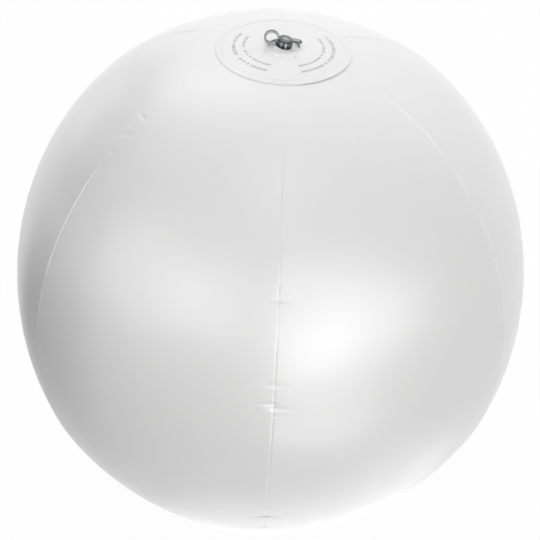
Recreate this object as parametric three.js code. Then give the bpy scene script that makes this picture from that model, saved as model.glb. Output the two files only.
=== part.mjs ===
// Inflated beach ball, standing on its lower pole with the valve at the upper one.
// Six film gores meet at inward weld fins, and a round end disc closes them at each pole.
// The upper disc carries a soft push-in valve with a plug on a strap.
// Millimetres and degrees, +Z up, origin on the floor below the ball's centre.
// Azimuth 0 is -Y, and it grows towards +X.
import * as THREE from 'three';

// Ball: the film panels and the shape that the air gives them.
const GORE_COUNT = 6;
const BELLY_RADIUS = 140;
const SEAM_RISE = 2.2;
const MERIDIAN_HALF_HEIGHT = 148;
const POLE_DROP = 5.6;
const POLE_DROP_POWER = 12;
const FILM = 0.25;
const FIN_DEPTH = 4;
const SEAM_GAP = 0.3;

// End discs: a weld band laps over the gore tips, and the middle lies a film lower.
// The floor presses the lower one flat, out to a margin inside its band.
const DISC_RADIUS = 35.5;
const WELD_BAND = 3.8;
const DISC_FILM = 0.45;
const LAP_GAP = 0.3;
const TIP_SETBACK = 0.4;
const CONTACT_MARGIN = 5.7;

// Valve: flange under the disc, soft web, neck, flap, plug, tab and strap.
const VALVE_LEAN = 10;
const FLANGE_INNER_RADIUS = 8;
const FLANGE_WIDTH = 2.4;
const FLANGE_THICKNESS = 0.7;
const DISC_HOLE_MARGIN = 0.3;
const FIT_GAP = 0.3;
const WEB_THICKNESS = 0.5;
const WEB_CROWN = 0.25;
const BORE_RADIUS = 2.9;
const NECK_WALL = 1.35;
const NECK_ABOVE = 3;
const NECK_BELOW = 7.2;
const NECK_EDGE = 0.35;
const PLUG_LIP = 0.6;
const PLUG_HEAD_THICKNESS = 1.2;
const PLUG_HEAD_EDGE = 0.3;
const PLUG_RIM = 1.4;
const PLUG_DISH_DEPTH = 0.5;
const STEM_LENGTH = 3.4;
const STEM_TAPER = 0.4;
const TAB_LENGTH = 5;
const TAB_WIDTH = 3.4;
const TAB_THICKNESS = 0.9;
const STRAP_LOOP_RADIUS = 3.5;
const STRAP_THICKNESS = 1;
const STRAP_WIDTH = 2.6;
const STRAP_ROOT_ANGLE = -49;
const STRAP_END_ANGLE = 20;
const FLAP_MARGIN = 0.35;
const FLAP_THICKNESS = 0.4;
const FLAP_EAR_WIDTH = 2.4;

// Mesh fineness.
const GORE_ROWS = 26;
const GORE_COLUMNS = 8;
const RING_SEGMENTS = 48;
const VALVE_SEGMENTS = 36;
const DISC_RINGS = 5;
const WEB_ROWS = 4;
const ARC_SEGMENTS = 30;

const FILM_COLOUR = 0xf1f1ef;
const VALVE_COLOUR = 0xb4b7b9;

const filmMaterial = () => new THREE.MeshStandardMaterial({ color: FILM_COLOUR, roughness: 0.3, metalness: 0 });
const valveMaterial = () => new THREE.MeshStandardMaterial({ color: VALVE_COLOUR, roughness: 0.2, metalness: 0 });

const seamRadius = BELLY_RADIUS + SEAM_RISE;
const goreAngle = (2 * Math.PI) / GORE_COUNT;
const bandInnerRadius = DISC_RADIUS - WELD_BAND;
const tipRadius = bandInnerRadius + TIP_SETBACK;
const contactRadius = bandInnerRadius - CONTACT_MARGIN;
const flangeOuterRadius = FLANGE_INNER_RADIUS + FLANGE_WIDTH;
const discHoleRadius = FLANGE_INNER_RADIUS + DISC_HOLE_MARGIN;
const neckRadius = BORE_RADIUS + NECK_WALL;

// Height above the ball's centre of the meridian whose latitude has this sine.
function meridianHeight(sine) {
  const size = Math.abs(sine);
  const height = MERIDIAN_HALF_HEIGHT * size - POLE_DROP * size ** (POLE_DROP_POWER + 1);
  return Math.sign(sine) * height;
}

// Height of the seam line above the ball's centre at a distance from the axis.
function crownHeight(radius) {
  return meridianHeight(Math.sqrt(1 - (radius / seamRadius) ** 2));
}

const centreHeight = crownHeight(contactRadius) + DISC_FILM;
const seatHeight = centreHeight + crownHeight(0) + DISC_FILM;

// Joins closed rings of points, each with the same count, into one tube with closed ends.
// Each ring holds an outer run and then the matching inner run backwards.
function loftedStrip(rings) {
  const count = rings[0].length;
  const half = count / 2;
  const points = rings.flat();
  const faces = [];
  for (let row = 0; row + 1 < rings.length; row += 1) {
    for (let i = 0; i < count; i += 1) {
      const next = (i + 1) % count;
      const a = row * count + i;
      const b = row * count + next;
      faces.push(a, b, b + count, a, b + count, a + count);
    }
  }
  const last = (rings.length - 1) * count;
  for (let i = 0; i + 1 < half; i += 1) {
    const mate = count - 1 - i;
    faces.push(i, mate, mate - 1, i, mate - 1, i + 1);
    faces.push(last + i, last + mate - 1, last + mate, last + i, last + i + 1, last + mate - 1);
  }
  return solidGeometry(points, faces);
}

// Joins rings of points into a closed ring-shaped skin, as round a tyre.
function loftedRing(rings) {
  const count = rings[0].length;
  const faces = [];
  rings.forEach((ring, row) => {
    const after = (row + 1) % rings.length;
    for (let i = 0; i < count; i += 1) {
      const next = (i + 1) % count;
      const a = row * count + i;
      const b = row * count + next;
      const c = after * count + next;
      const d = after * count + i;
      faces.push(a, b, c, a, c, d);
    }
  });
  return solidGeometry(rings.flat(), faces);
}

// A closed mesh from shared points, turned so that its faces point out.
function solidGeometry(points, faces) {
  let volume = 0;
  for (let i = 0; i < faces.length; i += 3) {
    const [a, b, c] = [points[faces[i]], points[faces[i + 1]], points[faces[i + 2]]];
    volume += a.dot(new THREE.Vector3().crossVectors(b, c));
  }
  const index = volume < 0 ? [...faces].reverse() : faces;
  const geometry = new THREE.BufferGeometry().setFromPoints(points);
  geometry.setIndex(index);
  geometry.computeVertexNormals();
  return geometry;
}

// A solid of revolution about Z from a closed outline of [radius, height] points.
function turned(outline, segments) {
  const profile = outline.map(([radius, height]) => new THREE.Vector2(radius, height));
  const geometry = new THREE.LatheGeometry(profile, segments);
  geometry.rotateX(Math.PI / 2);
  const position = geometry.getAttribute('position');
  const rows = outline.length;
  const points = [];
  for (let i = 0; i < segments * rows; i += 1) {
    points.push(new THREE.Vector3().fromBufferAttribute(position, i));
  }
  const onAxis = (row) => outline[row][0] === 0;
  const at = (segment, row) => (onAxis(row) ? row : (segment % segments) * rows + row);
  const faces = [];
  const wraps = onAxis(0) && onAxis(rows - 1);
  const spans = wraps ? rows - 1 : rows;
  for (let segment = 0; segment < segments; segment += 1) {
    for (let row = 0; row < spans; row += 1) {
      const above = (row + 1) % rows;
      const a = at(segment, row);
      const b = at(segment + 1, row);
      const c = at(segment + 1, above);
      const d = at(segment, above);
      if (a !== b) faces.push(a, b, c);
      if (c !== d) faces.push(a, c, d);
    }
  }
  return solidGeometry(points, faces);
}

// Gore: a bowed film strip between two seams, with a weld fin turned in along each edge.
function goreGeometry(middleAzimuth) {
  const halfAngle = goreAngle / 2;
  const tipLatitude = Math.acos(tipRadius / seamRadius);

  // Share runs from -1 at one seam to 1 at the other. Depth is inwards along the normal,
  // and inset is away from the seam's plane.
  function filmPoint(latitude, share, depth, inset) {
    const equatorRadius = BELLY_RADIUS + SEAM_RISE * share ** 2;
    const radiusAt = (angle) => equatorRadius * Math.cos(angle);
    const heightAt = (angle) => meridianHeight(Math.sin(angle));
    const nudge = 1e-4;
    const along = new THREE.Vector2(
      radiusAt(latitude + nudge) - radiusAt(latitude - nudge),
      heightAt(latitude + nudge) - heightAt(latitude - nudge),
    ).normalize();
    const radius = radiusAt(latitude) - depth * along.y;
    const height = centreHeight + heightAt(latitude) + depth * along.x;
    const azimuth = middleAzimuth + share * halfAngle;
    const sideways = -Math.sign(share) * inset;
    return new THREE.Vector3(
      radius * Math.sin(azimuth) + sideways * Math.cos(azimuth),
      -radius * Math.cos(azimuth) + sideways * Math.sin(azimuth),
      height,
    );
  }

  const rings = [];
  for (let row = 0; row <= GORE_ROWS; row += 1) {
    const latitude = tipLatitude * (2 * (row / GORE_ROWS) - 1);
    const outer = [filmPoint(latitude, -1, FIN_DEPTH, SEAM_GAP / 2)];
    const inner = [filmPoint(latitude, -1, FIN_DEPTH, SEAM_GAP / 2 + FILM)];
    for (let column = 0; column <= GORE_COLUMNS; column += 1) {
      const share = 2 * (column / GORE_COLUMNS) - 1;
      const isEdge = column === 0 || column === GORE_COLUMNS;
      outer.push(filmPoint(latitude, share, 0, isEdge ? SEAM_GAP / 2 : 0));
      inner.push(filmPoint(latitude, share, FILM, isEdge ? SEAM_GAP / 2 + FILM : 0));
    }
    outer.push(filmPoint(latitude, 1, FIN_DEPTH, SEAM_GAP / 2));
    inner.push(filmPoint(latitude, 1, FIN_DEPTH, SEAM_GAP / 2 + FILM));
    rings.push([...outer, ...inner.reverse()]);
  }
  return loftedStrip(rings);
}

// Outline of an end disc as [radius, height above the ball's centre], from its inner edge
// out to the rim over the top, and back underneath.
function discOutline(innerRadius) {
  const stepRadius = bandInnerRadius - DISC_FILM;
  const stations = [];
  for (let i = 0; i <= DISC_RINGS; i += 1) {
    const radius = innerRadius + (i / DISC_RINGS) * (stepRadius - innerRadius);
    stations.push([radius, crownHeight(radius)]);
  }
  [bandInnerRadius, bandInnerRadius + WELD_BAND / 2, DISC_RADIUS - DISC_FILM / 2].forEach((radius) => {
    stations.push([radius, crownHeight(radius) + LAP_GAP]);
  });
  const upper = stations.map(([radius, bottom]) => [radius, bottom + DISC_FILM]);
  const rim = [DISC_RADIUS, crownHeight(DISC_RADIUS) + LAP_GAP + DISC_FILM / 2];
  return [...upper, rim, ...stations.reverse()];
}

function valveDisc() {
  const outline = discOutline(discHoleRadius);
  return turned(outline.map(([radius, height]) => [radius, centreHeight + height]), RING_SEGMENTS);
}

function baseDisc() {
  const outline = discOutline(contactRadius).map(([radius, height]) => [radius, centreHeight - height]);
  return turned([[0, 0], ...outline, [0, DISC_FILM]], RING_SEGMENTS);
}

// Valve flange: a flat ring welded under the disc, round the hole.
const flangeTop = crownHeight(flangeOuterRadius) + centreHeight - FIT_GAP;
const flangeBottom = flangeTop - FLANGE_THICKNESS;

function valveFlange() {
  const edge = FLANGE_THICKNESS / 3;
  return turned([
    [FLANGE_INNER_RADIUS, flangeBottom],
    [flangeOuterRadius - edge, flangeBottom],
    [flangeOuterRadius, flangeBottom + edge],
    [flangeOuterRadius, flangeTop - edge],
    [flangeOuterRadius - edge, flangeTop],
    [FLANGE_INNER_RADIUS, flangeTop],
  ], RING_SEGMENTS);
}

// The leaning frame of everything that moves with the neck.
const lean = THREE.MathUtils.degToRad(VALVE_LEAN);
const leaning = new THREE.Group();
leaning.position.set(0, 0, seatHeight);
leaning.rotation.y = lean;
leaning.updateMatrixWorld(true);

// Valve web: the soft membrane from the flange up to the leaning neck.
const webOuterRadius = FLANGE_INNER_RADIUS - FIT_GAP;
const webInnerRadius = neckRadius + FIT_GAP;

function webPoint(azimuth, share, side) {
  const onFlange = new THREE.Vector3(
    webOuterRadius * Math.cos(azimuth),
    webOuterRadius * Math.sin(azimuth),
    (flangeTop + flangeBottom) / 2,
  );
  const onNeck = new THREE.Vector3(
    webInnerRadius * Math.cos(azimuth),
    webInnerRadius * Math.sin(azimuth),
    -WEB_THICKNESS / 2,
  );
  leaning.localToWorld(onNeck);
  const point = onFlange.lerp(onNeck, share);
  point.z += WEB_CROWN * Math.sin(Math.PI * share) + (side * WEB_THICKNESS) / 2;
  return point;
}

function valveWeb() {
  const rings = [];
  for (let i = 0; i < VALVE_SEGMENTS; i += 1) {
    const azimuth = (2 * Math.PI * i) / VALVE_SEGMENTS;
    const ring = [];
    for (let row = 0; row <= WEB_ROWS; row += 1) {
      ring.push(webPoint(azimuth, row / WEB_ROWS, 1));
    }
    for (let row = WEB_ROWS; row >= 0; row -= 1) {
      ring.push(webPoint(azimuth, row / WEB_ROWS, -1));
    }
    rings.push(ring);
  }
  return loftedRing(rings);
}

// Valve neck: the blowing tube, open at both ends.
function valveNeck() {
  return turned([
    [BORE_RADIUS, -NECK_BELOW],
    [neckRadius, -NECK_BELOW],
    [neckRadius, NECK_ABOVE - NECK_EDGE],
    [neckRadius - NECK_EDGE, NECK_ABOVE],
    [BORE_RADIUS, NECK_ABOVE],
  ], VALVE_SEGMENTS);
}

// Plug: a dished head that sits on the neck's rim, over a tapered stem in the bore.
const headBottom = NECK_ABOVE + FIT_GAP;
const headTop = headBottom + PLUG_HEAD_THICKNESS;
const headRadius = BORE_RADIUS + PLUG_LIP;

function plug() {
  const stemRadius = BORE_RADIUS - FIT_GAP;
  const stemEnd = headBottom - STEM_LENGTH;
  const dishRadius = headRadius - PLUG_RIM;
  return turned([
    [0, stemEnd],
    [stemRadius - STEM_TAPER, stemEnd],
    [stemRadius, headBottom],
    [headRadius, headBottom],
    [headRadius, headTop - PLUG_HEAD_EDGE],
    [headRadius - PLUG_HEAD_EDGE, headTop],
    [dishRadius, headTop],
    [dishRadius - PLUG_DISH_DEPTH, headTop - PLUG_DISH_DEPTH],
    [0, headTop - PLUG_DISH_DEPTH],
  ], VALVE_SEGMENTS);
}

// Pull tab: a round-ended tongue beside the plug's head, hollowed to its edge.
function pullTab() {
  const hollowRadius = headRadius + FIT_GAP;
  const hollowAngle = Math.asin(TAB_WIDTH / 2 / hollowRadius);
  const endCentre = hollowRadius + TAB_LENGTH - TAB_WIDTH / 2;
  const outline = new THREE.Shape();
  outline.absarc(endCentre, 0, TAB_WIDTH / 2, -Math.PI / 2, Math.PI / 2, false);
  outline.absarc(0, 0, hollowRadius, hollowAngle, -hollowAngle, true);
  const geometry = new THREE.ExtrudeGeometry(outline, {
    depth: TAB_THICKNESS,
    bevelEnabled: false,
    curveSegments: ARC_SEGMENTS / 3,
  });
  geometry.translate(0, 0, headTop - TAB_THICKNESS);
  return geometry;
}

// Strap: a flat band in an open loop, from beside the neck round to the plug's head.
function strap() {
  const outerRadius = STRAP_LOOP_RADIUS + STRAP_THICKNESS / 2;
  const innerRadius = STRAP_LOOP_RADIUS - STRAP_THICKNESS / 2;
  const root = THREE.MathUtils.degToRad(STRAP_ROOT_ANGLE);
  const end = THREE.MathUtils.degToRad(STRAP_END_ANGLE);
  const centreX = -(neckRadius + FIT_GAP + outerRadius * Math.cos(root));
  const centreZ = headTop + FIT_GAP - outerRadius * Math.sin(end);
  const outline = new THREE.Shape();
  outline.absarc(centreX, centreZ, outerRadius, root, end, true);
  outline.absarc(centreX, centreZ, innerRadius, end, root, false);
  const geometry = new THREE.ExtrudeGeometry(outline, {
    depth: STRAP_WIDTH,
    bevelEnabled: false,
    curveSegments: ARC_SEGMENTS,
  });
  geometry.rotateX(Math.PI / 2);
  geometry.translate(0, STRAP_WIDTH / 2, 0);
  return geometry;
}

// Check flap: a thin lid under the neck, with an ear where it bends.
function checkFlap() {
  const flapRadius = neckRadius - FLAP_MARGIN;
  const earReach = neckRadius + FLAP_THICKNESS;
  const earAngle = Math.asin(FLAP_EAR_WIDTH / 2 / flapRadius);
  const outline = new THREE.Shape();
  outline.moveTo(-earReach, FLAP_EAR_WIDTH / 2);
  outline.lineTo(-earReach, -FLAP_EAR_WIDTH / 2);
  outline.absarc(0, 0, flapRadius, Math.PI + earAngle, Math.PI - earAngle, false);
  const geometry = new THREE.ExtrudeGeometry(outline, {
    depth: FLAP_THICKNESS,
    bevelEnabled: false,
    curveSegments: ARC_SEGMENTS,
  });
  geometry.translate(0, 0, -NECK_BELOW - FIT_GAP - FLAP_THICKNESS);
  return geometry;
}

function piece(name, geometry, material) {
  const mesh = new THREE.Mesh(geometry, material);
  mesh.name = name;
  return mesh;
}

const ball = new THREE.Group();
for (let i = 0; i < GORE_COUNT; i += 1) {
  const middleAzimuth = (i + 0.5) * goreAngle;
  ball.add(piece(`gore_${i + 1}`, goreGeometry(middleAzimuth), filmMaterial()));
}
ball.add(piece('valve_disc', valveDisc(), filmMaterial()));
ball.add(piece('base_disc', baseDisc(), filmMaterial()));
ball.add(piece('valve_flange', valveFlange(), valveMaterial()));
ball.add(piece('valve_web', valveWeb(), valveMaterial()));
leaning.add(piece('valve_neck', valveNeck(), valveMaterial()));
leaning.add(piece('plug', plug(), valveMaterial()));
leaning.add(piece('pull_tab', pullTab(), valveMaterial()));
leaning.add(piece('strap', strap(), valveMaterial()));
leaning.add(piece('check_flap', checkFlap(), valveMaterial()));
ball.add(leaning);

export default ball;
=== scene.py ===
# %% [markdown]
# Inflated beach ball, dressed for the camera.
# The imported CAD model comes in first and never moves. Each later cell makes one piece or one
# finish over it, in metres, with the same origin and axes as the CAD.
# Reading the cells in order shows how a soft, glossy, almost colourless object is built so
# that its few details carry the picture: the seams, the puckers beside them and the valve.

# %% Load the frame
import math
import random
from functools import partial

import bmesh
import bpy
import numpy as np
from mathutils import Matrix, Vector


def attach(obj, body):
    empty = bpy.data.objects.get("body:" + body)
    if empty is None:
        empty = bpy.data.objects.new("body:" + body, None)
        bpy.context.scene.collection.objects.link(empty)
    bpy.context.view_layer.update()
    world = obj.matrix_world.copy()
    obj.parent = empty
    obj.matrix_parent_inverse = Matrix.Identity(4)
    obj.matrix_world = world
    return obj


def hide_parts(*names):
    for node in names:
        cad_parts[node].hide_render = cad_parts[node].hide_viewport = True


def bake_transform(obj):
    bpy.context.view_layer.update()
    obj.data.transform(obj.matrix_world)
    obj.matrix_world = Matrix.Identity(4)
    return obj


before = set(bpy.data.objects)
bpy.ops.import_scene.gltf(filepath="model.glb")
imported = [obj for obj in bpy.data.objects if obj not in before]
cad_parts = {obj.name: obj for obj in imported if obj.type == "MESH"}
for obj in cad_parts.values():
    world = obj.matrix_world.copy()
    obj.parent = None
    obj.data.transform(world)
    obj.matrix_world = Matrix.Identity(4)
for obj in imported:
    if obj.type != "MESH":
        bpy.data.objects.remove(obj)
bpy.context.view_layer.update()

# %% [markdown]
# The ball is six film gores round an upright axis. Its section is a hexagon that the air has
# bulged almost into a circle, so each seam stands a little proud of the panels beside it.
# The sizes and the two height rules below are those of the CAD source, now in metres,
# so every piece made from them lies on its solid.

# %% Sizes and height rules of the ball
MM = 0.001
GORE_COUNT = 6
BELLY_RADIUS = 0.140
SEAM_RISE = 0.0022
MERIDIAN_HALF_HEIGHT = 0.148
POLE_DROP = 0.0056
POLE_DROP_POWER = 12
DISC_RADIUS = 0.0355
WELD_BAND = 0.0038
DISC_FILM = 0.00045
CONTACT_MARGIN = 0.0057

seam_radius = BELLY_RADIUS + SEAM_RISE
gore_angle = 2 * math.pi / GORE_COUNT
band_inner_radius = DISC_RADIUS - WELD_BAND
contact_radius = band_inner_radius - CONTACT_MARGIN


def meridian_height(sine):
    """Height above the ball's centre where the sine of the latitude has this value."""
    size = np.abs(sine)
    drop = POLE_DROP * size ** (POLE_DROP_POWER + 1)
    return np.sign(sine) * (MERIDIAN_HALF_HEIGHT * size - drop)


def crown_height(radius):
    """Height of the film at this distance from the axis, near a pole."""
    return meridian_height(np.sqrt(1 - (np.asarray(radius, float) / seam_radius) ** 2))


centre_height = float(crown_height(contact_radius)) + DISC_FILM
seat_height = centre_height + float(crown_height(0)) + DISC_FILM
print("ball centre", round(centre_height, 5), "valve seat", round(seat_height, 5))

# %% [markdown]
# The photograph looks down on the ball from the front with a long lens. The camera stands
# eight ball radii away and a little to the left of the front seam, which therefore runs just
# right of the middle. It is rolled by a few degrees, because the ball leans in the picture.
# A camera in Blender looks along its own -Z, so its three axes are set directly as columns
# of its matrix. The shift only moves the picture by a pixel or two.

# %% Camera
IMAGE_SIZE = 540
SENSOR = 36
FOCAL_PIXELS = 2009.4
CAMERA_DISTANCE = 1.12
CAMERA_AZIMUTH = math.radians(-2.24)
CAMERA_ELEVATION = math.radians(35)
CAMERA_ROLL = math.radians(3.4)
PIXELS_RIGHT = 0.4
PIXELS_DOWN = 1.7
NEAREST_SEEN = 0.05
FARTHEST_SEEN = 50


def new_object(name, data):
    """An object with this data, linked into the scene."""
    made = bpy.data.objects.new(name, data)
    bpy.context.scene.collection.objects.link(made)
    return made


def direction(azimuth, elevation):
    flat = math.cos(elevation)
    return Vector((math.sin(azimuth) * flat, -math.cos(azimuth) * flat, math.sin(elevation)))


ball_centre = Vector((0, 0, centre_height))
backward = direction(CAMERA_AZIMUTH, CAMERA_ELEVATION)
level = Vector((math.cos(CAMERA_AZIMUTH), math.sin(CAMERA_AZIMUTH), 0))
upward = backward.cross(level)
right = level * math.cos(CAMERA_ROLL) + upward * math.sin(CAMERA_ROLL)
above = upward * math.cos(CAMERA_ROLL) - level * math.sin(CAMERA_ROLL)
axes = Matrix((right, above, backward)).transposed().to_4x4()
camera = new_object("camera", bpy.data.cameras.new("camera"))
camera.matrix_world = Matrix.Translation(ball_centre + backward * CAMERA_DISTANCE) @ axes
camera.data.sensor_width = SENSOR
camera.data.lens = FOCAL_PIXELS * SENSOR / IMAGE_SIZE
camera.data.shift_x = -PIXELS_RIGHT / IMAGE_SIZE
camera.data.shift_y = PIXELS_DOWN / IMAGE_SIZE
camera.data.clip_start = NEAREST_SEEN
camera.data.clip_end = FARTHEST_SEEN
bpy.context.scene.camera = camera
bpy.context.scene.view_settings.view_transform = "Standard"
print("lens", round(camera.data.lens, 2), "mm")

# %% [markdown]
# The picture has a plain white ground. A white world that is seen by the camera, and by
# reflected and transmitted rays, gives that ground without pouring extra light on the ball:
# the Light Path node tells those rays apart. Every other ray meets a dimmer world, which is
# the soft ambient light of the studio. The helpers here also serve the materials further on.

# %% White ground and ambient light
AMBIENT = 0.02
PLAIN_WHITE = 1
GROUND_WHITE = (1, 1, 1, 1)


def maths(tree, operation, *terms):
    """One Math node. Each term is a number or another node's output."""
    node = tree.nodes.new("ShaderNodeMath")
    node.operation = operation
    for socket, term in zip(node.inputs, terms):
        if isinstance(term, (int, float)):
            socket.default_value = term
        else:
            tree.links.new(term, socket)
    return node.outputs[0]


def empty_tree(owner):
    """The node tree of a world or a material, with nothing in it."""
    owner.use_nodes = True
    owner.node_tree.nodes.clear()
    return owner.node_tree


def glowing(tree, kind, strength):
    """A white Background or Emission shader of this strength."""
    shader = tree.nodes.new(kind)
    shader.inputs["Color"].default_value = GROUND_WHITE
    shader.inputs["Strength"].default_value = strength
    return shader.outputs[0]


def shader_mix(tree, factor, first, second, output):
    """Mixes two shaders and links the result to an output node of this kind."""
    mix = tree.nodes.new("ShaderNodeMixShader")
    for source, socket in zip((factor, first, second), mix.inputs):
        tree.links.new(source, socket)
    tree.links.new(mix.outputs[0], tree.nodes.new(output).inputs["Surface"])


def seen_directly(tree):
    """1 for camera, glossy and transmitted rays, and 0 for all the others."""
    rays = tree.nodes.new("ShaderNodeLightPath").outputs
    seen = maths(tree, "MAXIMUM", rays["Is Camera Ray"], rays["Is Glossy Ray"])
    return maths(tree, "MAXIMUM", seen, rays["Is Transmission Ray"])


world = bpy.data.worlds.new("studio")
bpy.context.scene.world = world
tree = empty_tree(world)
ambient = glowing(tree, "ShaderNodeBackground", AMBIENT)
white = glowing(tree, "ShaderNodeBackground", PLAIN_WHITE)
shader_mix(tree, seen_directly(tree), ambient, white, "ShaderNodeOutputWorld")
print("world", len(tree.nodes), "nodes")

# %% [markdown]
# The floor is a wide pale sheet. Most of what the camera sees of it is the same plain white
# as the world, and the rest is ordinary matt paint, which keeps the ball's shadow.
# It belongs to the stage, not to the ball.

# %% Floor
FLOOR_HALF = 4.0
FLOOR_PAINT = (0.8, 0.8, 0.8, 1)
FLOOR_WHITE_SHARE = 0.97

floor_finish = bpy.data.materials.new("floor_paint")
tree = empty_tree(floor_finish)
paint = tree.nodes.new("ShaderNodeBsdfDiffuse")
paint.inputs["Color"].default_value = FLOOR_PAINT
glow = glowing(tree, "ShaderNodeEmission", PLAIN_WHITE)
share = maths(tree, "MULTIPLY", seen_directly(tree), FLOOR_WHITE_SHARE)
shader_mix(tree, share, paint.outputs[0], glow, "ShaderNodeOutputMaterial")

floor_mesh = bpy.data.meshes.new("floor")
corners = [(-FLOOR_HALF, -FLOOR_HALF, 0), (FLOOR_HALF, -FLOOR_HALF, 0),
           (FLOOR_HALF, FLOOR_HALF, 0), (-FLOOR_HALF, FLOOR_HALF, 0)]
floor_mesh.from_pydata(corners, [], [(0, 1, 2, 3)])
floor_mesh.materials.append(floor_finish)
floor = new_object("floor", floor_mesh)
print("floor", 2 * FLOOR_HALF, "m wide")

# %% [markdown]
# A white ball on white ground is drawn by its shading alone, so the lamps come in two kinds.
# The first kind only shades: hidden from mirror rays, it leaves no highlight. It gives the
# bright top, the darker lower left and the soft light from the front.
# The second kind is only mirrored. A highlight shows where a lamp mirrors into the camera,
# so its place on the ball gives the lamp's direction. The strong highlight right of the seam
# takes four lamps that stand near the ball: small ones inside a large one, which gives it a
# bright core and a soft rim.

# %% Lamps: name, azimuth and elevation in degrees, size in metres, watts
LAMP_DISTANCE = 1.5
NEAR_DISTANCE = 0.68
SHADING_LAMPS = (
    ("shade_high_front", 0, 65, 0.8, 8.1),
    ("shade_low_front", 0, 8, 0.8, 2.9),
    ("shade_low_right", 35, 8, 0.8, 3.9),
    ("shade_left", -60, 35, 0.8, 1.14),
    ("shade_far_left", -100, 50, 0.8, 2.55),
    ("shade_back", 180, 35, 1.4, 6.3),
    ("shade_high_back", 180, 60, 0.8, 3.4),
    ("shade_back_left", -150, 30, 0.8, 2.5),
    ("shade_back_right", 125, 8, 0.8, 3.1),
    ("shade_right", 125, 40, 0.8, 3.5),
)
CORE_LAMPS = (
    ("mirror_core_low", 21, -4, 0.3, 0.3),
    ("mirror_core_high", 20, 4, 0.3, 0.4),
    ("mirror_core_left", 14, 14, 0.5, 0.85),
    ("mirror_core_wide", 21, 5, 0.8, 2.4),
)
MIRRORED_LAMPS = (
    ("mirror_far_right", 48, 1, 1.0, 5.3),
    ("mirror_left", -30, 14, 0.8, 3.5),
    ("mirror_far_left", -58, 10, 1.2, 7.1),
    ("mirror_back_left", -143, 53, 0.8, 1.8),
    ("mirror_rim_left", -140, 8, 0.5, 3.1),
)


def softbox(name, azimuth, elevation, size, watts, mirrored, distance=LAMP_DISTANCE):
    """A round lamp that faces the ball and is either mirrored by it or shades it."""
    data = bpy.data.lights.new(name, "AREA")
    data.shape = "DISK"
    data.size = size
    data.energy = watts
    lamp = new_object(name, data)
    away = direction(math.radians(azimuth), math.radians(elevation))
    lamp.location = ball_centre + away * distance
    lamp.rotation_euler = away.to_track_quat("Z", "Y").to_euler()
    lamp.visible_camera = False
    lamp.visible_diffuse = not mirrored
    lamp.visible_glossy = mirrored
    return lamp


for row in SHADING_LAMPS:
    softbox(*row, mirrored=False)
for row in CORE_LAMPS:
    softbox(*row, mirrored=True, distance=NEAR_DISTANCE)
for row in MIRRORED_LAMPS:
    softbox(*row, mirrored=True)
print("lamps", len(SHADING_LAMPS), "shading", len(CORE_LAMPS + MIRRORED_LAMPS), "mirrored")

# %% [markdown]
# The film mirrors the table too. Two lamps that lie on it in front and look up light the
# lower half. Cards finish the table: a bright one whitens the ball's lower edge, and two dark
# ones draw the dark band along its left edge, as the dark side of a studio would. Only mirror
# rays meet the cards, and each card fades to nothing towards its border, so no edge shows.

# %% Light and cards on the table
TABLE_GAP = 0.002
CARD_STEPS = 12
FADE_GAIN = 1.5
TABLE_LIGHTS = (
    ("mirror_table_left", 0.13, -0.38, 0.28, 0.36),
    ("mirror_table_right", 0.2, -0.5, 0.3, 0.27),
)
card_height = TABLE_GAP / 2


def table_light(name, x, y, size, watts):
    """A lamp that lies on the table and looks up."""
    lamp = softbox(name, 0, 0, size, watts, mirrored=True)
    lamp.location = (x, y, TABLE_GAP)
    lamp.rotation_euler = (math.pi, 0, 0)


def attribute(tree, name):
    """What the mesh says in its attribute of this name."""
    node = tree.nodes.new("ShaderNodeAttribute")
    node.attribute_name = name
    return node.outputs["Fac"]


def marked(mesh, name, values):
    """Writes one number for each point of a mesh, for its material to read."""
    mesh.attributes.new(name, "FLOAT", "POINT").data.foreach_set("value", values)


def faded_card(name, corners, cover, brightness):
    """A glowing or black card between four corners, which fades out towards its border."""
    cloth = bpy.data.materials.new(name + "_cloth")
    tree = empty_tree(cloth)
    clear = tree.nodes.new("ShaderNodeBsdfTransparent").outputs[0]
    tone = glowing(tree, "ShaderNodeEmission", brightness)
    shader_mix(tree, attribute(tree, "cover"), clear, tone, "ShaderNodeOutputMaterial")
    a, b, c, d = [np.array(corner) for corner in corners]
    steps = np.linspace(0, 1, CARD_STEPS + 1)
    points = [(1 - v) * ((1 - u) * a + u * b) + v * ((1 - u) * d + u * c)
              for v in steps for u in steps]
    row = CARD_STEPS + 1
    faces = [(i, i + 1, i + row + 1, i + row)
             for i in range(row * CARD_STEPS) if i % row < CARD_STEPS]
    mesh = bpy.data.meshes.new(name)
    mesh.from_pydata(points, [], faces)
    fade = np.minimum(1, FADE_GAIN * np.sin(math.pi * steps))
    marked(mesh, "cover", cover * np.outer(fade, fade).ravel())
    mesh.materials.append(cloth)
    card = new_object(name, mesh)
    for ray in ("camera", "diffuse", "transmission", "shadow"):
        setattr(card, "visible_" + ray, False)


for row in TABLE_LIGHTS:
    table_light(*row)
faded_card("bright_card", (
    (-0.09, -0.17, card_height), (0.20, -0.17, card_height),
    (0.22, -0.03, card_height), (-0.07, -0.03, card_height)), cover=1, brightness=1.72)
faded_card("dark_card", (
    (-0.06, -0.10, card_height), (-0.13, 0.08, card_height),
    (-1.0, 0.75, card_height), (-1.1, -0.45, card_height)), cover=1, brightness=0)
faded_card("dark_card_standing", (
    (-1.3, 0.05, 0), (-0.5, 1.25, 0), (-0.5, 1.25, 1), (-1.3, 0.05, 1)),
    cover=0.8, brightness=0)

# %% [markdown]
# Every finish of the ball is one Principled shader whose colour, roughness and bump vary over
# the surface, since no real vinyl is even. Noise gives the variation, a Map Range node brings
# it into the wanted range, and a Bump node turns it into fine relief. These helpers put such
# nodes into a tree, so that each finish below reads as a short recipe.

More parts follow.
